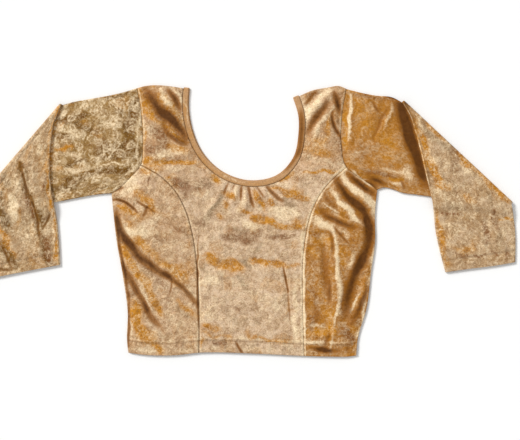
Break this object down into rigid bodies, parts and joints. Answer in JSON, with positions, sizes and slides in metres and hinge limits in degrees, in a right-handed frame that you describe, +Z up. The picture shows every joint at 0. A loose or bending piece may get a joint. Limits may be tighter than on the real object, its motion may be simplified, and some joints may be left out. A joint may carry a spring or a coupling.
{
  "type": "choli blouse laid flat",
  "caption": "Cropped close-fitting blouse in embossed stretch velvet, laid flat face up, with a deep scoop neck, princess seams and long sleeves folded down at the elbow.",
  "frame": {"origin": "on the surface the blouse lies on, under the middle of its bounding box", "axes": "+X across the laid blouse to the viewer's right, +Y from the hem to the neck, +Z up from the surface"},
  "size_m": [0.7752, 0.385, 0.0104],
  "materials": {
    "velvet_pale": "embossed crushed stretch velvet, champagne gold",
    "velvet_gold": "embossed crushed stretch velvet, deeper gold",
    "binding": "velvet binding, turned and topstitched"
  },
  "bodies": {
    "root": {"back": "velvet_gold", "front_centre": "velvet_pale", "front_side_left": "velvet_pale", "front_side_right": "velvet_gold", "sleeve_left": "velvet_pale", "sleeve_right": "velvet_gold", "neck_binding": "binding"}
  },
  "joints": []
}
